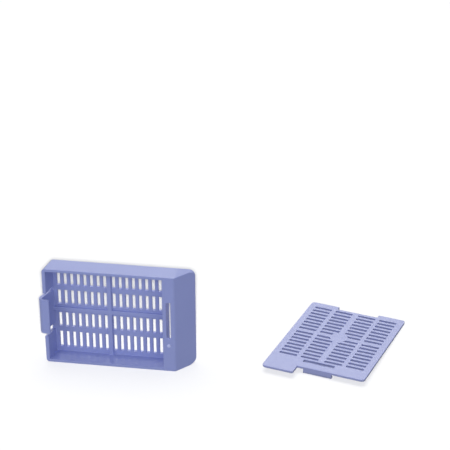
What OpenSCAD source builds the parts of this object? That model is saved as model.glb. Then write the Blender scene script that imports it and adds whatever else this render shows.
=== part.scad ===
// Tissue cassette: a moulded tray with a sloping writing face, standing on one
// long side, and its clip-on lid lying beside it on the tip of its hook.

/* [Base] */
// Width of the cassette, which is its height as it stands
cassette_w = 28.5; // [24:0.1:36]
// Length of the flat rim, from the end wall to the writing face
rim_l = 35.3; // [30:0.1:45]
// Thickness of the base, from its rim to its back
base_t = 5.6; // [4.8:0.1:9]
// Thickness of the long walls at the rim, and of the wall behind the strip
wall_t = 0.8; // [0.6:0.05:1.2]
// Thickness of the end wall
end_wall_t = 0.9; // [0.6:0.05:1.3]
// Thickness of the perforated floor
floor_t = 0.9; // [0.6:0.05:1.4]
// How far the end wall leans in, from the rim to the back
end_lean = 1.1; // [0.2:0.05:2]
// How far each long wall thickens from the rim to the floor
wall_draft = 0.2; // [0:0.05:0.4]
// Radius of the two outer corners at the end wall
end_corner_r = 0.9; // [0.3:0.1:2]

/* [Writing face] */
// How far the writing face reaches past the rim
face_reach = 4.7; // [3:0.1:7]
// Thickness of the wall of the writing face
face_t = 0.9; // [0.6:0.05:1.4]
// Width of the flat edge at the writing face's outer end
face_edge_t = 0.4; // [0.2:0.05:1]
// Radius of the two outer corners of the writing face
face_corner_r = 1.7; // [1:0.1:3]
// Radius of the soft edge between the strip and the writing face
face_edge_r = 1.2; // [0.3:0.1:1.6]
// Width of the flat strip between the tray and the writing face
strip_w = 3.25; // [2.8:0.05:5]
// Thickness of that strip
strip_t = 0.7; // [0.5:0.05:1]

/* [Floor grille] */
// Columns of slots on each side of the cross rib
slot_cols = 8; // [3:1:8]
// Distance from one column of slots to the next
slot_pitch = 1.785; // [1.4:0.005:1.8]
// Width of a slot
slot_w = 0.9; // [0.5:0.05:1.1]
// Length of the slots next to the long rib
inner_slot_l = 4.35; // [2:0.05:5]
// Length of the slots next to the long walls
outer_slot_l = 4.85; // [2:0.05:5.2]
// Bar between the inner and the outer slots
slot_bar = 1.5; // [0.8:0.05:2]
// Flat band between the two halves of the grille, along the cassette
long_band = 2.6; // [1.6:0.1:3.5]
// Flat band between the two halves of the grille, across the cassette
cross_band = 1.5; // [1.2:0.05:3]
// Width of the two ribs that cross on the floor
rib_w = 1.2; // [0.6:0.05:1.2]
// Height of the ribs above the floor
rib_h = 0.6; // [0.3:0.05:1]

/* [Lug] */
// Length of the springy lug on the end wall
lug_l = 10.3; // [7:0.1:13]
// How far the lug's middle lies above the cassette's
lug_up = 0.45; // [-1:0.05:1]
// How far the lug stands out from the end wall
lug_out = 1; // [0.4:0.05:1.5]
// How far the lug's lip reaches in over the rim
lip_in = 1.9; // [1.4:0.05:2.2]
// Thickness of the lug's lip
lip_t = 0.6; // [0.4:0.05:0.8]
// Radius of the lug's nose
lug_r = 1.4; // [1:0.05:1.6]
// Gap in the end wall below the lug
notch_low = 1.6; // [0.8:0.1:2.5]
// Gap in the end wall above the lug
notch_high = 1.2; // [0.8:0.1:2.5]

/* [Latch] */
// Length of the latch slot in the flat strip
latch_l = 11; // [8:0.1:14]
// Width of the latch slot
latch_w = 1.15; // [1:0.05:1.5]
// How far the latch slot's middle lies above the cassette's
latch_up = 1.25; // [-1:0.05:1.5]
// Ledge between the latch slot and the tray's end wall, which the barb catches
latch_ledge = 0.2; // [0.1:0.05:0.3]
// Distance from the latch slot down to the small pip
pip_drop = 2.15; // [1.2:0.05:3]
// Radius of the pip
pip_r = 0.55; // [0.3:0.05:0.8]
// Height of the pip
pip_h = 0.2; // [0.1:0.05:0.3]

/* [Lid] */
// Thickness of the lid's plate
lid_t = 0.65; // [0.5:0.05:1]
// Gap between the lid's long edges and the cassette's sides
lid_side_gap = 0.45; // [0.2:0.05:1]
// How far the lid's ears reach past the end wall
ear_over = 1.2; // [0.5:0.05:1.4]
// Radius of the ears' outer corners
ear_r = 1; // [0.5:0.1:2]
// Depth of the recess between the ears
recess_d = 1.35; // [1:0.05:1.6]
// Gap beside the lug in that recess, on the thumb tab's side
recess_gap_low = 1; // [0.3:0.05:1.5]
// Gap beside the lug in that recess, on the other side
recess_gap_high = 0.35; // [0.3:0.05:1.5]
// Width of the thumb tab
tab_w = 8.85; // [5:0.05:10]
// How far the thumb tab reaches past the lid's edge
tab_l = 3.4; // [2:0.1:5]

/* [Lid grille] */
// Rows of slots on each side of the lid's middle
lid_rows = 8; // [3:1:8]
// Length of the lid's slots
lid_slot_l = 4.95; // [3:0.05:5.2]
// Bar between the inner and the outer slots of the lid
lid_slot_bar = 1.2; // [0.8:0.05:1.6]
// Flat spine along the lid's middle
lid_spine = 1.75; // [1.2:0.05:2.2]
// Flat band across the lid's middle
lid_band = 1.5; // [1.2:0.05:2.4]
// Distance from the lid's latch edge to the middle of its grille
lid_grille_y = 18.8; // [18.5:0.05:19.1]
// Radius of the solid disc at the middle of the grille
disc_r = 2.4; // [1.5:0.1:3]

/* [Lid hook] */
// Gap between the hook's outer face and the latch slot
latch_gap = 0.1; // [0.05:0.05:0.2]
// Gap between the hook and the latch slot's lower end
hook_gap_low = 0.9; // [0.2:0.05:1.5]
// Gap between the hook and the latch slot's upper end
hook_gap_high = 2.1; // [0.2:0.05:2.5]
// Thickness of the hook
hook_t = 0.8; // [0.5:0.05:0.85]
// How far the hook reaches below the lid's plate
hook_h = 1.3; // [1.1:0.05:2]
// How far the barb reaches in under the ledge
barb_catch = 0.1; // [0.05:0.05:0.15]
// Length of the window behind the hook
window_l = 8.7; // [6:0.1:10]
// Width of that window
window_w = 1.4; // [0.8:0.1:1.6]
// Bar between the lid's latch edge and that window
window_bar = 2.5; // [2:0.1:2.8]

/* [Lid beside the base] */
// Distance from the writing face to the lid's near corner, to the side
lid_side = 18.8; // [8:0.1:60]
// Distance from the rim's plane to the lid's near corner, backwards
lid_back = 6.7; // [-20:0.1:40]
// How far the lid is turned
lid_turn = 14.4; // [-45:0.1:45]

/* [Hidden] */
$fn = 64;
over = 1;
body_l = rim_l + face_reach;
lean_a = atan(end_lean / base_t);
face_a = atan(face_y() / face_reach);
tray_d = base_t - floor_t;
tray_end = rim_l - strip_w;
mid_z = cassette_w / 2;
grille_x = (tray_left(tray_d) + tray_end) / 2;

latch_z = mid_z + latch_up - latch_l / 2;
latch_x = tray_end + wall_t + latch_ledge;
lug_z = mid_z + lug_up - lug_l / 2;
lug_gap = 0.05;

lid_w = cassette_w - 2 * lid_side_gap;
lid_edge = latch_x + latch_w - latch_gap;
lid_l = lid_edge + ear_over;
lid_mid = lid_w / 2;
hook_z = latch_z + hook_gap_low - lid_side_gap;
hook_l = latch_l - hook_gap_low - hook_gap_high;
barb = latch_w - latch_gap - hook_t + barb_catch;
lid_tilt = atan(hook_h / (lid_l - hook_t));

// Inner face of the leaning end wall, y mm behind the rim
function tray_left(y) = end_wall_t + end_lean * y / base_t;
// Inner face of the writing face's wall, y mm behind the rim
function face_y() = base_t - face_edge_t;
function face_in(y) =
    rim_l + (y * face_reach - face_t * norm([face_reach, face_y()])) / face_y();

// Rounds an edge that runs along Y; the solid lies on its -X and -Z sides
module edge_round(r, l) {
    difference() {
        translate([-r, -over, -r]) cube([r + over, l + 2 * over, r + over]);
        translate([-r, -2 * over, -r])
            rotate([-90, 0, 0]) cylinder(r = r, h = l + 4 * over);
    }
}

// Rounds an outer corner of a flat outline; the solid lies on its -X and -Y sides
module corner_round(r) {
    difference() {
        translate([-r, -r]) square(r + over);
        translate([-r, -r]) circle(r);
    }
}

// Repeats its children mirrored about the cassette's middle height
module both_sides() {
    children();
    translate([0, 0, cassette_w]) mirror([0, 0, 1]) children();
}

// Section along the cassette, with a soft edge where the writing face turns in
module base_section() {
    soft = face_edge_r * tan(face_a / 2);
    polygon([[0, 0], [rim_l - soft, 0],
             [rim_l + soft * cos(face_a), soft * sin(face_a)],
             [body_l, face_y()], [body_l, base_t], [end_lean, base_t]]);
    translate([rim_l - soft, face_edge_r]) circle(face_edge_r);
}

module base_outside() {
    difference() {
        linear_extrude(cassette_w) base_section();
        both_sides() {
            translate([body_l, 0, cassette_w]) edge_round(face_corner_r, base_t);
            rotate([0, 0, -lean_a])
                translate([0, 0, cassette_w]) mirror([1, 0, 0]) edge_round(end_corner_r, 2 * base_t);
        }
    }
}

// Space inside the tray: its end wall leans in and its long walls have draft
module tray_space() {
    intersection() {
        linear_extrude(cassette_w)
            polygon([[tray_left(-over), -over], [tray_end, -over],
                     [tray_end, tray_d], [tray_left(tray_d), tray_d]]);
        rotate([90, 0, 90]) linear_extrude(rim_l)
            polygon([[-over, wall_t], [0, wall_t], [tray_d, wall_t + wall_draft],
                     [tray_d, cassette_w - wall_t - wall_draft],
                     [0, cassette_w - wall_t], [-over, cassette_w - wall_t]]);
    }
}

// Hollow under the strip and the writing face, open at the back
module face_space() {
    difference() {
        translate([0, 0, wall_t]) linear_extrude(cassette_w - 2 * wall_t)
            polygon([[tray_end + wall_t, strip_t], [face_in(strip_t), strip_t],
                     [face_in(base_t + over), base_t + over],
                     [tray_end + wall_t, base_t + over]]);
        both_sides()
            translate([body_l - wall_t, 0, cassette_w - wall_t])
                edge_round(face_corner_r - wall_t, base_t);
    }
}

// Places one slot on each side of the grille's middle for every column
module grille_columns(count, pitch, band) {
    for (side = [-1, 1], i = [0 : count - 1])
        translate([side * (band / 2 + slot_w / 2 + i * pitch) - slot_w / 2, 0, 0]) children();
}

module floor_slots() {
    outer_z = long_band / 2 + inner_slot_l + slot_bar;
    translate([grille_x, tray_d - over / 2, mid_z])
        for (side = [0, 1]) mirror([0, 0, side])
            grille_columns(slot_cols, slot_pitch, cross_band) {
                translate([0, 0, long_band / 2]) cube([slot_w, floor_t + over, inner_slot_l]);
                translate([0, 0, outer_z]) cube([slot_w, floor_t + over, outer_slot_l]);
            }
}

// The two ribs that cross on the floor, let into the walls they meet
module floor_ribs() {
    rib_y = tray_d - rib_h;
    rib_deep = rib_h + floor_t / 2;
    translate([grille_x - rib_w / 2, rib_y, wall_t / 2])
        cube([rib_w, rib_deep, cassette_w - wall_t]);
    translate([tray_left(tray_d) - wall_t / 2, rib_y, mid_z - rib_w / 2])
        cube([tray_end - tray_left(tray_d) + wall_t, rib_deep, rib_w]);
}

// Opening in the end wall that the springy lug stands in
module lug_opening() {
    translate([-over, -over, lug_z - notch_low])
        cube([over + tray_left(tray_d), tray_d + over, lug_l + notch_low + notch_high]);
}

// Tongue that rises from the floor's end, with a rounded nose and a lip
module lug() {
    lip_y = -lid_t - lug_gap;
    stem_in = end_wall_t - lug_out;
    translate([0, 0, lug_z]) linear_extrude(lug_l) difference() {
        union() {
            translate([lug_r - lug_out, lip_y - lip_t + lug_r]) circle(lug_r);
            polygon([[-lug_out, lip_y - lip_t + lug_r], [end_lean, base_t],
                     [tray_left(base_t), base_t], [tray_left(tray_d), tray_d],
                     [lug_r - lug_out, lip_y]]);
            translate([lug_r - lug_out, lip_y - lip_t])
                square([lip_in - lug_r + lug_out - lip_t / 2, lip_t]);
            translate([lip_in - lip_t / 2, lip_y - lip_t / 2]) circle(lip_t / 2);
        }
        polygon([[stem_in, lip_y], [lip_in + over, lip_y], [lip_in + over, tray_d],
                 [tray_left(tray_d), tray_d], [stem_in, 0]]);
    }
}

// Small domed pip on the strip, under the lid's thumb tab
module pip() {
    dome_r = (pip_r * pip_r + pip_h * pip_h) / (2 * pip_h);
    intersection() {
        translate([latch_x + latch_w / 2, dome_r - pip_h, latch_z - pip_drop]) sphere(dome_r);
        translate([latch_x - over, -over, 0]) cube([3 * over, over + strip_t / 2, latch_z]);
    }
}

module cassette_base() {
    color([0.59, 0.62, 0.85]) translate([-body_l / 2, -base_t / 2, 0]) {
        difference() {
            base_outside();
            tray_space();
            face_space();
            floor_slots();
            lug_opening();
            translate([latch_x, -over, latch_z]) cube([latch_w, over + 2 * strip_t, latch_l]);
        }
        floor_ribs();
        lug();
        pip();
    }
}

// The lid lies with its outer face up, its latch edge along X and its
// underside at height 0
module lid_outline() {
    recess_w = lug_l + recess_gap_low + recess_gap_high;
    recess_x = lug_z - recess_gap_low - lid_side_gap;
    difference() {
        union() {
            square([lid_w, lid_l]);
            translate([0, -tab_l]) square([tab_w, tab_l + over]);
        }
        translate([recess_x, lid_l - recess_d]) square([recess_w, recess_d + over]);
        translate([lid_w, lid_l]) corner_round(ear_r);
        translate([0, lid_l]) mirror([1, 0]) corner_round(ear_r);
        translate([lid_w, 0]) mirror([0, 1]) corner_round(ear_r);
        translate([0, -tab_l]) rotate(180) corner_round(ear_r);
        translate([tab_w, -tab_l]) mirror([0, 1]) corner_round(ear_r / 2);
    }
}

module lid_slots() {
    outer_x = lid_spine / 2 + lid_slot_l + lid_slot_bar;
    difference() {
        translate([lid_mid, lid_grille_y, -over])
            for (side = [0, 1]) mirror([side, 0, 0]) rotate([0, 0, 90])
                grille_columns(lid_rows, slot_pitch, lid_band) {
                    translate([0, -lid_spine / 2 - lid_slot_l, 0])
                        cube([slot_w, lid_slot_l, lid_t + 2 * over]);
                    translate([0, -outer_x - lid_slot_l, 0])
                        cube([slot_w, lid_slot_l, lid_t + 2 * over]);
                }
        translate([lid_mid, lid_grille_y, -2 * over]) cylinder(r = disc_r, h = lid_t + 4 * over);
    }
}

// Hook that drops into the latch slot, with its barb towards the tray
module lid_hook() {
    lead = hook_h / 3;
    translate([hook_z, 0, 0]) rotate([90, 0, 90]) linear_extrude(hook_l)
        polygon([[0, lid_t / 2], [0, -hook_h + lead], [lead / 2, -hook_h],
                 [hook_t, -hook_h], [hook_t + barb, -hook_h + lead],
                 [hook_t, -strip_t], [hook_t, lid_t / 2]]);
}

module lid_flat() {
    difference() {
        linear_extrude(lid_t) lid_outline();
        lid_slots();
        translate([lid_mid - window_l / 2, window_bar, -over])
            cube([window_l, window_w, lid_t + 2 * over]);
    }
    lid_hook();
}

// The lid rests on its hook and on the lower edges of its two ears
module cassette_lid() {
    color([0.70, 0.71, 0.88])
        translate([body_l / 2 + lid_side, lid_back - base_t / 2, 0])
            rotate([0, 0, -lid_turn]) translate([0, lid_l, 0])
                rotate([-lid_tilt, 0, 0]) translate([0, -lid_l, 0]) lid_flat();
}

cassette_base();
cassette_lid();
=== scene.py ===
"""Looks of a slotted tissue cassette: its moulded base standing on edge, and its lid lying beside it.

Each moulding starts as a copy of its CAD node. Its slots are closed, its edges are rounded, and a
Geometry Nodes tree then cuts the grille again, with rounded slot ends and mouths.
"""
import math

import bmesh
import bpy
from bpy.props import FloatProperty, FloatVectorProperty, IntProperty, PointerProperty
from mathutils import Matrix, Vector


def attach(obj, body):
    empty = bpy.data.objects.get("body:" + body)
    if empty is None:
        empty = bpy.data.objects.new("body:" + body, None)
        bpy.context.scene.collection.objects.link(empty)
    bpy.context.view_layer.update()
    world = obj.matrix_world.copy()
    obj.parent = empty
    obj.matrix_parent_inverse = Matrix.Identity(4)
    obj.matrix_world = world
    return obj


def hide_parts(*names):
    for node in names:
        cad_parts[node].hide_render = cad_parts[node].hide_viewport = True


bl_info = {
    "name": "Tissue cassette",
    "version": (1, 0, 0),
    "blender": (4, 5, 0),
    "location": "3D View > Sidebar > Cassette",
    "description": "Dresses the mouldings of a tissue cassette and sets its stage",
    "category": "Object",
}

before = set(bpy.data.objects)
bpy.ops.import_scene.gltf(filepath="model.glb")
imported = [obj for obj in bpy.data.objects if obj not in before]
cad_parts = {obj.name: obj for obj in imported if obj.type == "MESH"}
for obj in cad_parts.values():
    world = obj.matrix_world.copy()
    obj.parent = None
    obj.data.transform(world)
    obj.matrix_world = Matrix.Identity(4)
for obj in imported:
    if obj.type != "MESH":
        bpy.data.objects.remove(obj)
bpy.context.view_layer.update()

MM = 0.001

# The base's sizes that its grille, its writing face and its pip are placed by
CASSETTE_W = 28.5 * MM
BASE_T = 5.6 * MM
FLOOR_T = 0.9 * MM
BODY_L = 40.0 * MM
GRILLE_X = 16.94 * MM
RIM_L = 35.3 * MM
PIP = Vector((13.625, -2.8, 7.85)) * MM
PIP_R = 0.55 * MM
# The pip's paler colour is a painted highlight that stands in for the glint on its dome
PIP_HIGHLIGHT_COLOUR = (0.50, 0.56, 0.92)

# The lid's sizes, and its place beside the base
LID_T = 0.65 * MM
LID_W = 27.6 * MM
LID_L = 35.3 * MM
LID_GRILLE_Y = 18.8 * MM
HOOK_H = 1.3 * MM
HOOK_T = 0.8 * MM
LID_NEAR = Vector((38.8, 3.9, 0)) * MM
LID_TURN = math.radians(-14.4)
LID_TILT = -math.atan(HOOK_H / (LID_L - HOOK_T))

# The lamps of each moulding: name, power, size, azimuth, elevation, the moulding that it lights,
# and whether only the gloss sees it. Azimuth 0 is in front, and 90 is on the right.
LAMPS = (
    ("front left", 1.8, 0.5, -40, 25, "base", False),
    ("front", 2.0, 0.6, 0, 25, "base", False),
    ("front right", 1.15, 0.5, 40, 25, "base", False),
    ("left", 0.5, 0.5, -75, 55, "base", False),
    ("side", 0.3, 0.5, 75, 40, "base", False),
    ("back right", 2.1, 0.5, 130, 40, "base", False),
    ("back", 2.5, 0.6, 180, 40, "base", False),
    ("gloss", 1.8, 0.9, 183, 30, "base", True),
    ("front left", 2.1, 0.5, -40, 55, "lid", False),
    ("front", 2.8, 0.6, 0, 55, "lid", False),
    ("front right", 1.4, 0.5, 40, 55, "lid", False),
    ("left", 1.2, 0.5, -75, 55, "lid", False),
    ("back", 0.9, 0.6, 180, 40, "lid", False),
    ("gloss", 4.6, 0.9, 183, 36, "lid", True),
)

LAMP_AIM = Vector((20, 5, 12)) * MM
LAMP_DISTANCE = 0.9

# The floor's own lamps: the size of the front one and how much of the shade's colour it lacks, and
# how wide the one above is and where it shines
FRONT_RADIUS = 8 * MM
FRONT_TINT = 1.3
SOFT_ANGLE = math.radians(50)
SOFT_TURN = Vector((0.06, -0.20, -1)).to_track_quat("-Z", "Y").to_euler()

# The tinted card under the lid, which casts a painted shade on the floor there: its height over the
# floor, the colour of that shade, and how far it stays inside the lid's two sides, its latch edge and
# its far edge
CARD_HEIGHT = 0.2 * MM
CARD_SHADE_COLOUR = (0.35, 0.38, 0.62)
CARD_SIDE = 1.0 * MM
CARD_NEAR = 2.6 * MM
CARD_FAR = 2.3 * MM

# The camera's place, and how it is turned to the side, lowered and rolled
CAMERA_PLACE = (0.08998, -0.39184, 0.25365)
CAMERA_TURN = math.radians(8.930)
CAMERA_DROP = math.radians(27.884)
CAMERA_ROLL = math.radians(-0.316)


def base_grille_frame():
    """Middle of the slotted floor: X along the base, Y up it, Z out of the open tray."""
    middle = Vector((GRILLE_X - BODY_L / 2, (BASE_T - FLOOR_T) / 2, CASSETTE_W / 2))
    return Matrix.Translation(middle) @ Matrix.Rotation(math.radians(90), 4, "X")


def lid_frame():
    """The lid's own frame: X along its latch edge, Y away from that edge, Z up."""
    hinge = Matrix.Translation((0, LID_L, 0))
    tilt = hinge @ Matrix.Rotation(LID_TILT, 4, "X") @ hinge.inverted()
    return Matrix.Translation(LID_NEAR) @ Matrix.Rotation(LID_TURN, 4, "Z") @ tilt


def lid_grille_frame():
    """Middle of the lid's grille: X along the lid, Y across it, Z out of its outer face."""
    middle = Matrix.Translation((LID_W / 2, LID_GRILLE_Y, LID_T / 2))
    return lid_frame() @ middle @ Matrix.Rotation(math.radians(90), 4, "Z")


# ---------------------------------------------------------------- settings

class CASSETTE_PG_grille(bpy.types.PropertyGroup):
    """Slots of one moulding: two pairs of rows, mirrored about the middle."""
    columns: IntProperty(name="Columns", description="Slots on each side of the middle",
                         default=8, min=1, max=12)
    pitch: FloatProperty(name="Pitch", description="Distance from slot to slot",
                         default=1.785 * MM, unit="LENGTH", precision=5)
    slot_width: FloatProperty(name="Slot width", description="Width of each slot",
                              default=0.9 * MM, unit="LENGTH", precision=5)
    middle_band: FloatProperty(name="Middle band", description="Solid band between the two halves",
                               default=1.5 * MM, unit="LENGTH", precision=5)
    row_band: FloatProperty(name="Row band", description="Solid band between the two inner rows",
                            default=2.6 * MM, unit="LENGTH", precision=5)
    row_bar: FloatProperty(name="Row bar", description="Bar between an inner and an outer row",
                           default=1.5 * MM, unit="LENGTH", precision=5)
    inner_length: FloatProperty(name="Inner slots", description="Length of the inner rows' slots",
                                default=4.35 * MM, unit="LENGTH", precision=5)
    outer_length: FloatProperty(name="Outer slots", description="Length of the outer rows' slots",
                                default=4.85 * MM, unit="LENGTH", precision=5)
    disc_radius: FloatProperty(name="Disc radius", description="Solid disc in the middle",
                               default=0.0, unit="LENGTH", precision=5)
    sheet: FloatProperty(name="Sheet", description="Thickness of the slotted sheet",
                         default=0.9 * MM, unit="LENGTH", precision=5)
    end_radius: FloatProperty(name="Slot end radius", description="Rounding of the slots' corners",
                              default=0.14 * MM, unit="LENGTH", precision=5)
    mouth_radius: FloatProperty(name="Mouth radius", description="Rounding of the slots' mouths",
                                default=0.09 * MM, unit="LENGTH", precision=5)


class CASSETTE_PG_plastic(bpy.types.PropertyGroup):
    """Moulded acetal of one piece."""
    colour: FloatVectorProperty(name="Colour", description="Colour of the plastic",
                                subtype="COLOR", size=3, min=0, max=1,
                                default=(0.285, 0.335, 0.685))
    pale: FloatVectorProperty(name="Flow colour", description="Colour of its paler flow clouds",
                              subtype="COLOR", size=3, min=0, max=1,
                              default=(0.305, 0.355, 0.705))
    roughness: FloatProperty(name="Roughness", description="Roughness of the satin surface",
                             default=0.42, min=0, max=1, subtype="FACTOR")
    grain: FloatProperty(name="Grain", description="Size of the mould's fine texture",
                         default=0.12 * MM, unit="LENGTH", precision=5)
    depth: FloatProperty(name="Light depth", description="How far light spreads in the plastic",
                         default=1.0 * MM, unit="LENGTH", precision=5)
    through: FloatProperty(name="Light through", description="Share of the light that spreads so",
                           default=0.06, min=0, max=1, subtype="FACTOR")
    edge_radius: FloatProperty(name="Edge radius", description="Rounding of the moulded edges",
                               default=0.12 * MM, unit="LENGTH", precision=5)
    edge_steps: IntProperty(name="Edge steps", description="Facets across a rounded edge",
                            default=3, min=1, max=6)


class CASSETTE_PG_stage(bpy.types.PropertyGroup):
    """Floor, lamps and camera."""
    floor_size: FloatProperty(name="Floor", description="Side of the floor",
                              default=4.0, unit="LENGTH")
    floor_white: FloatProperty(name="Floor white", description="How white the floor is",
                               default=0.26, min=0, max=1, subtype="FACTOR")
    floor_seen: FloatProperty(name="Floor as seen", description="White of the floor to the camera",
                              default=0.6, min=0, max=2, subtype="FACTOR")
    floor_power: FloatProperty(name="Floor lamp", description="Power of the floor's front lamp",
                               default=1.84, min=0, unit="POWER")
    floor_soft: FloatProperty(name="Soft floor lamp", description="Strength of the one above",
                              default=1.25, min=0, subtype="FACTOR")
    floor_fill: FloatVectorProperty(name="Shade", description="Colour of the floor in full shade",
                                    subtype="COLOR", size=3, min=0, max=1,
                                    default=(0.044, 0.052, 0.115))
    light: FloatProperty(name="Light", description="Strength of all the cassette's lamps",
                         default=1.0, min=0, subtype="FACTOR")
    sky: FloatProperty(name="Sky", description="Strength of the even light all round",
                       default=0.12, min=0, subtype="FACTOR")
    lens: FloatProperty(name="Lens", description="Focal length in millimetres on a 36 mm sensor",
                        default=140.52, min=10, unit="CAMERA")


class CASSETTE_PG_settings(bpy.types.PropertyGroup):
    """Everything that a user would change."""
    base_grille: PointerProperty(type=CASSETTE_PG_grille, name="Base grille")
    lid_grille: PointerProperty(type=CASSETTE_PG_grille, name="Lid grille")
    base_plastic: PointerProperty(type=CASSETTE_PG_plastic, name="Base plastic")
    lid_plastic: PointerProperty(type=CASSETTE_PG_plastic, name="Lid plastic")
    stage: PointerProperty(type=CASSETTE_PG_stage, name="Stage")


# ---------------------------------------------------------------- node helpers

def add_node(tree, kind, inputs=None, **settings):
    """Adds a node; a socket given as an input is linked, anything else is its value."""
    made = tree.nodes.new(kind)
    for key, value in settings.items():
        setattr(made, key, value)
    for key, value in (inputs or {}).items():
        if isinstance(value, Amount):
            value = value.socket
        if isinstance(value, bpy.types.NodeSocket):
            tree.links.new(value, made.inputs[key])
        else:
            made.inputs[key].default_value = value
    return made


class Amount:
    """A number socket of a tree that adds, multiplies and so on as a number does."""

    def __init__(self, tree, socket):
        self.tree, self.socket = tree, socket

    def math(self, operation, *others):
        inputs = dict(enumerate((self, *others)))
        made = add_node(self.tree, "ShaderNodeMath", inputs, operation=operation)
        return Amount(self.tree, made.outputs[0])

    def __add__(self, other):
        return self.math("ADD", other)

    def __sub__(self, other):
        return self.math("SUBTRACT", other)

    def __mul__(self, other):
        return self.math("MULTIPLY", other)

    def __truediv__(self, other):
        return self.math("DIVIDE", other)

    __radd__ = __add__

    def __rsub__(self, other):
        return self * -1.0 + other

    def __abs__(self):
        return self.math("ABSOLUTE")


def split(tree, vector):
    """The three parts of a vector socket, as amounts."""
    parts = add_node(tree, "ShaderNodeSeparateXYZ", {"Vector": vector})
    return [Amount(tree, socket) for socket in parts.outputs]


def joined(tree, x, y, z):
    """A vector socket of three amounts."""
    return add_node(tree, "ShaderNodeCombineXYZ", {"X": x, "Y": y, "Z": z}).outputs[0]


def new_tree(name, numbers, counts=(), geometry=True, extra=()):
    """A Geometry Nodes tree with named inputs; returns it, its inputs as amounts, and its output."""
    tree = bpy.data.node_groups.new(name, "GeometryNodeTree")
    face = tree.interface
    if geometry:
        face.new_socket("Geometry", in_out="INPUT", socket_type="NodeSocketGeometry")
    for label, value in numbers.items():
        socket = face.new_socket(label, in_out="INPUT", socket_type="NodeSocketFloat")
        socket.default_value = value
    for label, value in dict(counts).items():
        socket = face.new_socket(label, in_out="INPUT", socket_type="NodeSocketInt")
        socket.default_value = value
    for label, kind in extra:
        face.new_socket(label, in_out="INPUT", socket_type=kind)
    face.new_socket("Geometry", in_out="OUTPUT", socket_type="NodeSocketGeometry")
    given = tree.nodes.new("NodeGroupInput").outputs
    inputs = {s.name: Amount(tree, s) for s in given if s.name}
    return tree, inputs, tree.nodes.new("NodeGroupOutput").inputs["Geometry"]


# ---------------------------------------------------------------- the grille's trees

def slot_cutter_tree():
    """A rounded slot as a solid that flares to a quarter round at both faces of the sheet."""
    steps, spare, past = 3, 0.02, 0.3 * MM
    tree, given, result = new_tree(
        "slot cutter",
        {"Width": 0.9 * MM, "Length": 4.5 * MM, "Corner Radius": 0.1 * MM, "Sheet": 0.9 * MM,
         "Mouth Radius": 0.1 * MM, "Flare": 1.0},
        {"Points": 12}, geometry=False)
    layers = 2 * steps + 3
    prism = add_node(tree, "GeometryNodeMeshCylinder",
                     {"Vertices": given["Points"], "Side Segments": layers, "Radius": 1.0,
                      "Depth": float(layers)}, fill_type="NGON")
    turn = joined(tree, 0.0, 0.0, given["Points"].math("POWER", -1.0) * math.pi)
    prism = add_node(tree, "GeometryNodeTransform",
                     {"Geometry": prism.outputs["Mesh"], "Rotation": turn})
    x, y, z = split(tree, tree.nodes.new("GeometryNodeInputPosition").outputs[0])

    # Each layer's number, counted from the middle, gives its angle on the quarter round
    layer = abs(z) - 0.5
    angle = layer.math("MINIMUM", float(steps)) * (math.pi / 2 / steps)
    beyond = layer.math("GREATER_THAN", steps + 0.5) * past
    mouth = given["Mouth Radius"]
    out = given["Flare"] * (mouth - mouth * (1 + spare) * angle.math("COSINE"))
    height = given["Sheet"] * 0.5 - mouth + mouth * (1 + spare) * angle.math("SINE") + beyond

    # The prism's corners close up into the four corner arcs of the slot
    eighth = math.pi / 4
    spread = (1.0 - given["Points"].math("POWER", -1.0) * 4.0).math("POWER", -1.0)
    corner = (abs(y).math("ARCTAN2", abs(x)) - eighth) * spread + eighth
    radius = given["Corner Radius"]
    across = given["Width"] * 0.5 - radius + (radius + out) * corner.math("COSINE")
    along = given["Length"] * 0.5 - radius + (radius + out) * corner.math("SINE")
    place = joined(tree, x.math("SIGN") * across, y.math("SIGN") * along,
                   z.math("SIGN") * height)
    moved = add_node(tree, "GeometryNodeSetPosition",
                     {"Geometry": prism.outputs[0], "Position": place})
    tree.links.new(moved.outputs[0], result)
    return tree


def slot_rows_tree(cutter_tree):
    """Two rows of slots, one on each side of the middle line, with a band across the middle."""
    tree, given, result = new_tree(
        "slot rows",
        {"Pitch": 1.8 * MM, "Width": 0.9 * MM, "Middle Band": 1.5 * MM, "Length": 4.5 * MM,
         "Row Distance": 3.5 * MM, "Corner Radius": 0.1 * MM, "Sheet": 0.9 * MM,
         "Mouth Radius": 0.1 * MM},
        {"Columns": 8}, geometry=False)
    cutter = add_node(tree, "GeometryNodeGroup", node_tree=cutter_tree)
    for label in ("Width", "Length", "Corner Radius", "Sheet", "Mouth Radius"):
        tree.links.new(given[label].socket, cutter.inputs[label])
    line = add_node(tree, "GeometryNodeMeshLine", {"Count": given["Columns"] * 2.0})
    index = Amount(tree, tree.nodes.new("GeometryNodeInputIndex").outputs[0])
    column = index - given["Columns"] + 0.5
    shift = (given["Middle Band"] + given["Width"] - given["Pitch"]) * 0.5
    place = joined(tree, column * given["Pitch"] + column.math("SIGN") * shift, 0.0, 0.0)
    columns = add_node(tree, "GeometryNodeSetPosition",
                       {"Geometry": line.outputs[0], "Position": place})
    row = add_node(tree, "GeometryNodeInstanceOnPoints",
                   {"Points": columns.outputs[0], "Instance": cutter.outputs[0]})
    distance = given["Row Distance"]
    ends = add_node(tree, "GeometryNodeMeshLine",
                    {"Count": 2, "Start Location": joined(tree, 0.0, distance * -1.0, 0.0),
                     "Offset": joined(tree, 0.0, distance * 2.0, 0.0)})
    rows = add_node(tree, "GeometryNodeInstanceOnPoints",
                    {"Points": ends.outputs[0], "Instance": row.outputs[0]})
    tree.links.new(rows.outputs[0], result)
    return tree


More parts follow.
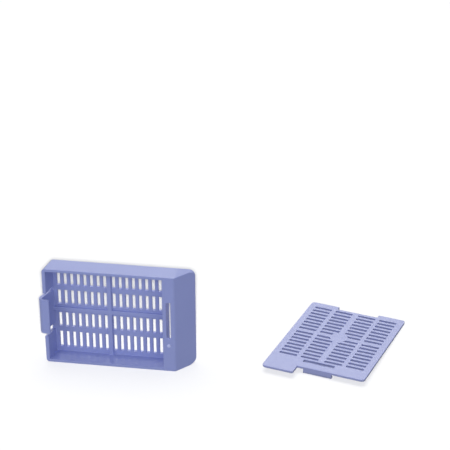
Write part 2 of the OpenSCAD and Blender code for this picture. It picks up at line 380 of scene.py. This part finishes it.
def grille_tree():
    """Cuts a moulding's whole grille, and leaves the disc in its middle solid."""
    cutter_tree = slot_cutter_tree()
    rows_tree = slot_rows_tree(cutter_tree)
    tree, given, result = new_tree(
        "slotted grille",
        {"Pitch": 1.8 * MM, "Slot Width": 0.9 * MM, "Middle Band": 1.5 * MM,
         "Row Band": 2.6 * MM, "Row Bar": 1.5 * MM, "Inner Length": 4.35 * MM,
         "Outer Length": 4.85 * MM, "Disc Radius": 0.0, "Sheet": 0.9 * MM,
         "End Radius": 0.1 * MM, "Mouth Radius": 0.1 * MM},
        {"Columns": 8},
        extra=(("Middle", "NodeSocketVector"), ("Turn", "NodeSocketRotation"),
               ("Plastic", "NodeSocketMaterial")))
    inner, outer = given["Inner Length"], given["Outer Length"]
    inner_row = (given["Row Band"] + inner) * 0.5
    outer_row = given["Row Band"] * 0.5 + inner + given["Row Bar"] + outer * 0.5
    slots = tree.nodes.new("GeometryNodeJoinGeometry")
    for length, distance in ((inner, inner_row), (outer, outer_row)):
        pair = add_node(tree, "GeometryNodeGroup",
                        {"Pitch": given["Pitch"], "Width": given["Slot Width"],
                         "Middle Band": given["Middle Band"], "Length": length,
                         "Row Distance": distance, "Corner Radius": given["End Radius"],
                         "Sheet": given["Sheet"], "Mouth Radius": given["Mouth Radius"],
                         "Columns": given["Columns"]}, node_tree=rows_tree)
        tree.links.new(pair.outputs[0], slots.inputs[0])
    solid_slots = add_node(tree, "GeometryNodeRealizeInstances", {"Geometry": slots.outputs[0]})

    # The disc is a slot cutter too, round and flared the other way
    disc = given["Disc Radius"]
    round_disc = add_node(tree, "GeometryNodeGroup",
                          {"Width": disc * 2.0, "Length": disc * 2.0, "Corner Radius": disc,
                           "Sheet": given["Sheet"], "Mouth Radius": given["Mouth Radius"],
                           "Flare": -1.0, "Points": 72}, node_tree=cutter_tree)
    taken = add_node(tree, "GeometryNodeTransform",
                     {"Geometry": round_disc.outputs[0], "Scale": (1.0, 1.0, 1.1)})
    spared = add_node(tree, "GeometryNodeMeshBoolean",
                      {"Mesh 1": solid_slots.outputs[0], "Mesh 2": taken.outputs[0]},
                      operation="DIFFERENCE", solver="EXACT")
    has_disc = disc.math("GREATER_THAN", 0.0)
    choice = add_node(tree, "GeometryNodeSwitch", input_type="GEOMETRY")
    tree.links.new(has_disc.socket, choice.inputs["Switch"])
    tree.links.new(solid_slots.outputs[0], choice.inputs["False"])
    tree.links.new(spared.outputs[0], choice.inputs["True"])
    placed = add_node(tree, "GeometryNodeTransform",
                      {"Geometry": choice.outputs[0], "Translation": given["Middle"],
                       "Rotation": given["Turn"]})
    cut = add_node(tree, "GeometryNodeMeshBoolean",
                   {"Mesh 1": given["Geometry"], "Mesh 2": placed.outputs[0]},
                   operation="DIFFERENCE", solver="EXACT")
    whole = add_node(tree, "GeometryNodeRealizeInstances", {"Geometry": cut.outputs[0]})
    painted = add_node(tree, "GeometryNodeSetMaterial",
                       {"Geometry": whole.outputs[0], "Material": given["Plastic"]})
    tree.links.new(painted.outputs[0], result)
    return tree


# ---------------------------------------------------------------- mouldings

def slot_field(grille):
    """Half the length and half the height of the area that the slots fill."""
    half_x = grille.middle_band / 2 + grille.slot_width + (grille.columns - 1) * grille.pitch
    half_y = grille.row_band / 2 + grille.inner_length + grille.row_bar + grille.outer_length
    return half_x, half_y


def closed_copy(node, grille, place):
    """A merged copy of a CAD node, with flat faces made whole and the grille's slots closed."""
    bm = bmesh.new()
    bm.from_mesh(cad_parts[node].data)
    bmesh.ops.remove_doubles(bm, verts=bm.verts, dist=0.001 * MM)
    flat, slack = math.radians(0.3), 0.01 * MM
    bmesh.ops.dissolve_limit(bm, angle_limit=flat, verts=bm.verts, edges=bm.edges)
    half_x, half_y = slot_field(grille)
    to_grille = place.inverted()
    turn = to_grille.to_3x3()

    def slot_wall(face):
        middle = to_grille @ face.calc_center_median()
        return (abs(middle.z) < 0.1 * grille.sheet and abs((turn @ face.normal).z) < 0.1
                and abs(middle.x) < half_x + slack and abs(middle.y) < half_y + slack)

    walls = [face for face in bm.faces if slot_wall(face)]
    bmesh.ops.delete(bm, geom=walls, context="FACES")
    rims = [edge for edge in bm.edges if edge.is_boundary]
    bmesh.ops.edgeloop_fill(bm, edges=rims)
    bmesh.ops.dissolve_limit(bm, angle_limit=flat, verts=bm.verts, edges=bm.edges)
    bmesh.ops.recalc_face_normals(bm, faces=bm.faces)
    return bm


def room_beside(edge, face, sharp):
    """How far a rounding may reach into a face from one of its edges."""
    start, end = (vert.co for vert in edge.verts)
    length = (end - start).length
    along = (end - start) / length
    inward = face.normal.cross(along)
    if (face.calc_center_median() - start).dot(inward) < 0:
        inward.negate()
    room, nothing = 1.0, 1e-7
    for other in face.edges:
        reach = sorted((vert.co - start).dot(along) for vert in other.verts)
        if other is edge or reach[1] < nothing or reach[0] > length - nothing:
            continue
        ends = sorted(((vert.co - start).dot(along), (vert.co - start).dot(inward))
                      for vert in other.verts)
        slope = (ends[1][1] - ends[0][1]) / max(ends[1][0] - ends[0][0], 1e-9)
        depths = [ends[0][1] + slope * (min(max(at, ends[0][0]), ends[1][0]) - ends[0][0])
                  for at in (0.0, length)]
        depth = min(depths) if min(depths) > nothing else max(depths) / 2
        if depth > nothing:
            room = min(room, depth * (0.45 if other in sharp else 0.95))
    return room


def mark_edges(bm, radius, sharper_than=math.radians(24)):
    """Marks the corner edges for rounding, but not those that have too little room for it."""
    weight = bm.edges.layers.float.new("bevel_weight_edge")
    sharp = {edge for edge in bm.edges if edge.calc_face_angle(0.0) > sharper_than}
    for edge in sharp:
        room = min(room_beside(edge, face, sharp) for face in edge.link_faces)
        edge[weight] = min(room / radius, 1.0) if room > 0.9 * radius else 0.0


def as_object(bm, name):
    """Turns an edit mesh into an object of the scene."""
    mesh = bpy.data.meshes.new(name)
    bm.to_mesh(mesh)
    bm.free()
    made = bpy.data.objects.new(name, mesh)
    bpy.context.scene.collection.objects.link(made)
    return made


def settle(piece):
    """Turns what the piece's modifiers make into its own plain mesh, and removes them."""
    bpy.context.view_layer.update()
    evaluated = piece.evaluated_get(bpy.context.evaluated_depsgraph_get())
    mesh = bpy.data.meshes.new_from_object(evaluated)
    piece.modifiers.clear()
    old, piece.data = piece.data, mesh
    mesh.name = piece.name
    bpy.data.meshes.remove(old)
    return piece


def soften(piece, plastic):
    """Rounds the moulded edges."""
    bevel = piece.modifiers.new("soft edges", "BEVEL")
    bevel.limit_method = "WEIGHT"
    bevel.width = plastic.edge_radius
    bevel.segments = plastic.edge_steps
    bevel.use_clamp_overlap = False
    bevel.miter_outer = "MITER_SHARP"
    return settle(piece)


def cut_grille(piece, grille, place, material):
    """Cuts the slots with the grille's tree."""
    tree = bpy.data.node_groups.get("slotted grille") or grille_tree()
    modifier = piece.modifiers.new("grille", "NODES")
    modifier.node_group = tree
    values = {"Pitch": grille.pitch, "Slot Width": grille.slot_width,
              "Middle Band": grille.middle_band, "Row Band": grille.row_band,
              "Row Bar": grille.row_bar, "Inner Length": grille.inner_length,
              "Outer Length": grille.outer_length, "Disc Radius": grille.disc_radius,
              "Sheet": grille.sheet, "End Radius": grille.end_radius,
              "Mouth Radius": grille.mouth_radius, "Columns": grille.columns,
              "Middle": place.translation, "Turn": place.to_euler(), "Plastic": material}
    for socket in tree.interface.items_tree:
        if socket.in_out == "INPUT" and socket.name in values:
            modifier[socket.identifier] = values[socket.name]
    return settle(piece)


def finish_shading(piece):
    """Merges slivers and shades the flats flat, with the light turning only on the roundings."""
    bm = bmesh.new()
    bm.from_mesh(piece.data)
    bmesh.ops.remove_doubles(bm, verts=bm.verts, dist=0.0005 * MM)
    bmesh.ops.dissolve_limit(bm, angle_limit=math.radians(0.2), verts=bm.verts, edges=bm.edges)
    for edge in bm.edges:
        edge.smooth = edge.calc_face_angle(0.0) < math.radians(40)
    bm.to_mesh(piece.data)
    bm.free()
    piece.data.polygons.foreach_set("use_smooth", [True] * len(piece.data.polygons))
    normals = piece.modifiers.new("even flats", "WEIGHTED_NORMAL")
    normals.weight = 100
    normals.keep_sharp = True
    return settle(piece)


def moulding(name, node, grille, plastic, place, material):
    """Makes a moulding from its CAD node: slots closed, edges rounded, and the grille cut again."""
    bm = closed_copy(node, grille, place)
    mark_edges(bm, plastic.edge_radius)
    piece = soften(as_object(bm, name), plastic)
    return finish_shading(cut_grille(piece, grille, place, material))


# ---------------------------------------------------------------- material

def acetal(name, plastic, face_from=None, pip=None):
    """Satin acetal: faint flow clouds, a fine mould grain, and a matt writing face and a polished pip
    on the front with a painted highlight, if it has them."""
    material = bpy.data.materials.new(name)
    material.use_nodes = True
    tree = material.node_tree
    tree.nodes.clear()
    where = tree.nodes.new("ShaderNodeTexCoord").outputs["Object"]

    def noise(size, detail, roughness=0.5):
        made = add_node(tree, "ShaderNodeTexNoise",
                        {"Vector": where, "Scale": 1.0 / size, "Detail": detail,
                         "Roughness": roughness}, noise_dimensions="3D")
        return Amount(tree, made.outputs["Fac"])

    cloud_size, ripple_size, face_grain, fade, pip_fade = (
        9 * MM, 2.5 * MM, 0.07 * MM, 0.3 * MM, 0.06 * MM)
    clouds = noise(cloud_size, 3.0)
    grain = noise(plastic.grain, 2.0, 0.6)
    ripple = noise(ripple_size, 2.0)
    mix = add_node(tree, "ShaderNodeMix", data_type="RGBA")
    tree.links.new(clouds.socket, mix.inputs["Factor"])
    mix.inputs[6].default_value = (*plastic.colour, 1)
    mix.inputs[7].default_value = (*plastic.pale, 1)
    colour = mix.outputs[2]
    rough = plastic.roughness + (clouds - 0.5) * 0.10 + (grain - 0.5) * 0.12
    height = grain * 0.6 + ripple * 0.4
    if pip is not None:
        offset = add_node(tree, "ShaderNodeVectorMath", {0: where, 1: pip}, operation="DISTANCE")
        on_pip = (PIP_R - Amount(tree, offset.outputs["Value"])) / pip_fade
        on_pip = on_pip.math("MINIMUM", 1.0).math("MAXIMUM", 0.0)
        # On the pip the plastic turns paler, which is a painted highlight; the lower roughness
        # polishes it
        pip_highlight = add_node(tree, "ShaderNodeMix", {"Factor": on_pip}, data_type="RGBA")
        tree.links.new(colour, pip_highlight.inputs[6])
        pip_highlight.inputs[7].default_value = (*PIP_HIGHLIGHT_COLOUR, 1)
        colour = pip_highlight.outputs[2]
        rough = rough - on_pip * 0.2
    if face_from is not None:
        x = split(tree, where)[0]
        face = ((x - face_from) / fade).math("MINIMUM", 1.0).math("MAXIMUM", 0.0)
        rough = rough + face * 0.12
        height = height + face * noise(face_grain, 1.0) * 0.8
    bump = add_node(tree, "ShaderNodeBump", {"Strength": 0.35, "Distance": 0.012 * MM,
                                             "Height": height})
    shader = add_node(tree, "ShaderNodeBsdfPrincipled",
                      {"Base Color": colour, "Roughness": rough, "IOR": 1.48,
                       "Normal": bump.outputs[0], "Subsurface Weight": plastic.through,
                       "Subsurface Radius": (0.6, 0.7, 1.0), "Subsurface Scale": plastic.depth})
    output = tree.nodes.new("ShaderNodeOutputMaterial")
    tree.links.new(shader.outputs[0], output.inputs["Surface"])
    return material


# ---------------------------------------------------------------- operators

class CASSETTE_OT_base(bpy.types.Operator):
    """Makes the base's moulding, standing on its long edge"""
    bl_idname = "cassette.base"
    bl_label = "Base moulding"

    def execute(self, context):
        given = context.scene.cassette
        plastic, grille = given.base_plastic, given.base_grille
        material = acetal("lilac base acetal", plastic, RIM_L - BODY_L / 2, PIP)
        piece = moulding("base_moulding", "cassette_base", grille, plastic,
                         base_grille_frame(), material)
        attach(piece, "root")
        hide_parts("cassette_base")
        return {"FINISHED"}


class CASSETTE_OT_lid(bpy.types.Operator):
    """Makes the lid's moulding, lying beside the base"""
    bl_idname = "cassette.lid"
    bl_label = "Lid moulding"

    def execute(self, context):
        given = context.scene.cassette
        plastic, grille = given.lid_plastic, given.lid_grille
        material = acetal("lilac lid acetal", plastic)
        piece = moulding("lid_moulding", "cassette_lid", grille, plastic,
                         lid_grille_frame(), material)
        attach(piece, "root")
        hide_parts("cassette_lid")
        return {"FINISHED"}


def group_of(name, pieces):
    """A collection that a lamp's light is kept to."""
    made = bpy.data.collections.new(name)
    for piece in pieces:
        made.objects.link(piece)
    return made


def add_card_under_lid():
    """Adds a clear, tinted card that shades the floor under the lid and is never seen itself."""
    left, right = CARD_SIDE, LID_W - CARD_SIDE
    near, far = CARD_NEAR, LID_L - CARD_FAR
    place = lid_frame()
    corners = [(place @ Vector((x, y, 0))).xy
               for x, y in ((left, near), (right, near), (right, far), (left, far))]
    bm = bmesh.new()
    bm.faces.new([bm.verts.new((*corner, CARD_HEIGHT)) for corner in corners])
    card = as_object(bm, "card under lid")
    card.visible_camera = card.visible_glossy = card.visible_transmission = False
    tinted = bpy.data.materials.new("card under lid")
    tinted.use_nodes = True
    tree = tinted.node_tree
    tree.nodes.clear()
    shader = add_node(tree, "ShaderNodeBsdfTransparent", {"Color": (*CARD_SHADE_COLOUR, 1)})
    output = tree.nodes.new("ShaderNodeOutputMaterial")
    tree.links.new(shader.outputs[0], output.inputs["Surface"])
    card.data.materials.append(tinted)


def add_lamp(name, power, size, azimuth, elevation, lit, blocking, gloss_only):
    """Adds a soft lamp aimed at the cassette, which lights only the pieces of one collection."""
    lamp = bpy.data.lights.new(name, "AREA")
    lamp.shape, lamp.size, lamp.energy = "SQUARE", size, power
    made = bpy.data.objects.new(name, lamp)
    bpy.context.scene.collection.objects.link(made)
    turn, lift = math.radians(azimuth), math.radians(elevation)
    away = Vector((math.sin(turn) * math.cos(lift), -math.cos(turn) * math.cos(lift),
                   math.sin(lift)))
    made.location = LAMP_AIM + away * LAMP_DISTANCE
    made.rotation_euler = (-away).to_track_quat("-Z", "Y").to_euler()
    made.visible_diffuse = not gloss_only
    made.visible_camera = False
    made.light_linking.receiver_collection = lit
    made.light_linking.blocker_collection = blocking


def add_floor_lamps(stage, place, lit):
    """Adds the floor's own lamps: one at the camera, which lights all of it alike, a soft one above,
    and one without shadows, which gives the shade its colour."""
    front = bpy.data.lights.new("floor front", "POINT")
    front.energy, front.shadow_soft_size = stage.floor_power, FRONT_RADIUS
    front.color = [1 - part * FRONT_TINT for part in stage.floor_fill]
    front.use_nodes = True
    tree = front.node_tree
    steady = tree.nodes.new("ShaderNodeLightFalloff").outputs["Constant"]
    reach = tree.nodes.new("ShaderNodeLightPath").outputs["Ray Length"]
    even = Amount(tree, steady) * Amount(tree, reach)
    tree.links.new(even.socket, tree.nodes["Emission"].inputs["Strength"])
    soft = bpy.data.lights.new("floor above", "SUN")
    soft.energy, soft.angle = stage.floor_soft, SOFT_ANGLE
    fill = bpy.data.lights.new("floor fill", "SUN")
    fill.energy, fill.color, fill.use_shadow = math.pi / stage.floor_seen, stage.floor_fill, False
    for each in (front, soft, fill):
        made = bpy.data.objects.new(each.name, each)
        bpy.context.scene.collection.objects.link(made)
        made.location = place
        if each is soft:
            made.rotation_euler = SOFT_TURN
        made.visible_camera = False
        made.light_linking.receiver_collection = lit


class CASSETTE_OT_stage(bpy.types.Operator):
    """Sets the white floor, the lamps and the camera"""
    bl_idname = "cassette.stage"
    bl_label = "Stage"

    def execute(self, context):
        given = context.scene.cassette
        stage = given.stage
        scene = context.scene
        bm = bmesh.new()
        bmesh.ops.create_grid(bm, x_segments=1, y_segments=1, size=stage.floor_size / 2)
        floor = as_object(bm, "floor")
        floor.data.materials.append(floor_paint(stage))

        add_card_under_lid()

        scene.world = bpy.data.worlds.new("even sky")
        scene.world.use_nodes = True
        tree = scene.world.node_tree
        back = tree.nodes["Background"]
        path = tree.nodes.new("ShaderNodeLightPath").outputs
        camera_ray = Amount(tree, path["Is Camera Ray"])
        clear_ray = Amount(tree, path["Is Transmission Ray"])
        glossy_ray = Amount(tree, path["Is Glossy Ray"])
        seen = camera_ray.math("MAXIMUM", clear_ray).math("MAXIMUM", glossy_ray)
        tree.links.new((seen * (1 - stage.sky) + stage.sky).socket, back.inputs["Strength"])
        back.inputs["Color"].default_value = (1, 1, 1, 1)

        pieces = {name: bpy.data.objects[name + "_moulding"] for name in ("base", "lid")}
        lit = {name: group_of("lit " + name, [piece]) for name, piece in pieces.items()}
        blocking = group_of("lit mouldings", pieces.values())
        for name, power, size, azimuth, elevation, piece, gloss_only in LAMPS:
            add_lamp(piece + " " + name, power * stage.light, size, azimuth, elevation,
                     lit[piece], blocking, gloss_only)

        camera = bpy.data.cameras.new("camera")
        camera.lens, camera.sensor_width = stage.lens, 36
        camera.clip_start, camera.clip_end = 0.01, 20
        holder = bpy.data.objects.new("camera", camera)
        scene.collection.objects.link(holder)
        holder.matrix_world = (Matrix.Translation(CAMERA_PLACE)
                               @ Matrix.Rotation(CAMERA_TURN, 4, "Z")
                               @ Matrix.Rotation(math.radians(90) - CAMERA_DROP, 4, "X")
                               @ Matrix.Rotation(CAMERA_ROLL, 4, "Z"))
        scene.camera = holder
        add_floor_lamps(stage, holder.matrix_world.translation, group_of("lit floor", [floor]))
        scene.view_settings.view_transform = "Standard"
        return {"FINISHED"}


def floor_paint(stage):
    """White floor that keeps the shadows; the camera sees its unshadowed parts as white."""
    material = bpy.data.materials.new("white floor")
    material.use_nodes = True
    tree = material.node_tree
    tree.nodes.clear()
    path = tree.nodes.new("ShaderNodeLightPath").outputs
    seen = Amount(tree, path["Is Camera Ray"])
    level = seen * (stage.floor_seen - stage.floor_white) + stage.floor_white
    colour = joined(tree, level, level, level)
    matt = add_node(tree, "ShaderNodeBsdfDiffuse", {"Color": colour})
    output = tree.nodes.new("ShaderNodeOutputMaterial")
    tree.links.new(matt.outputs[0], output.inputs["Surface"])
    return material


class CASSETTE_PT_panel(bpy.types.Panel):
    """Sizes, colours and operators of the cassette"""
    bl_idname = "CASSETTE_PT_panel"
    bl_label = "Tissue cassette"
    bl_space_type = "VIEW_3D"
    bl_region_type = "UI"
    bl_category = "Cassette"

    def draw(self, context):
        given = context.scene.cassette
        for operator, groups in (("cassette.base", ("base_grille", "base_plastic")),
                                 ("cassette.lid", ("lid_grille", "lid_plastic")),
                                 ("cassette.stage", ("stage",))):
            box = self.layout.box()
            box.operator(operator)
            for group in groups:
                settings = getattr(given, group)
                for key in settings.__annotations__:
                    box.prop(settings, key)


CLASSES = (CASSETTE_PG_grille, CASSETTE_PG_plastic, CASSETTE_PG_stage, CASSETTE_PG_settings,
           CASSETTE_OT_base, CASSETTE_OT_lid, CASSETTE_OT_stage, CASSETTE_PT_panel)


def register():
    for each in CLASSES:
        bpy.utils.register_class(each)
    bpy.types.Scene.cassette = PointerProperty(type=CASSETTE_PG_settings)


def unregister():
    del bpy.types.Scene.cassette
    for each in reversed(CLASSES):
        bpy.utils.unregister_class(each)


def main():
    register()
    given = bpy.context.scene.cassette
    grille = given.lid_grille
    grille.row_band, grille.row_bar = 1.75 * MM, 1.2 * MM
    grille.inner_length = grille.outer_length = 4.95 * MM
    grille.disc_radius, grille.sheet = 2.4 * MM, LID_T
    grille.mouth_radius = 0.05 * MM
    # The lid is the base's plastic; its greyer, paler colours paint the sheen on its upward face
    given.lid_plastic.colour = (0.310, 0.348, 0.640)
    given.lid_plastic.pale = (0.330, 0.368, 0.660)
    bpy.ops.cassette.base()
    bpy.ops.cassette.lid()
    bpy.ops.cassette.stage()


if __name__ == "__main__":
    main()
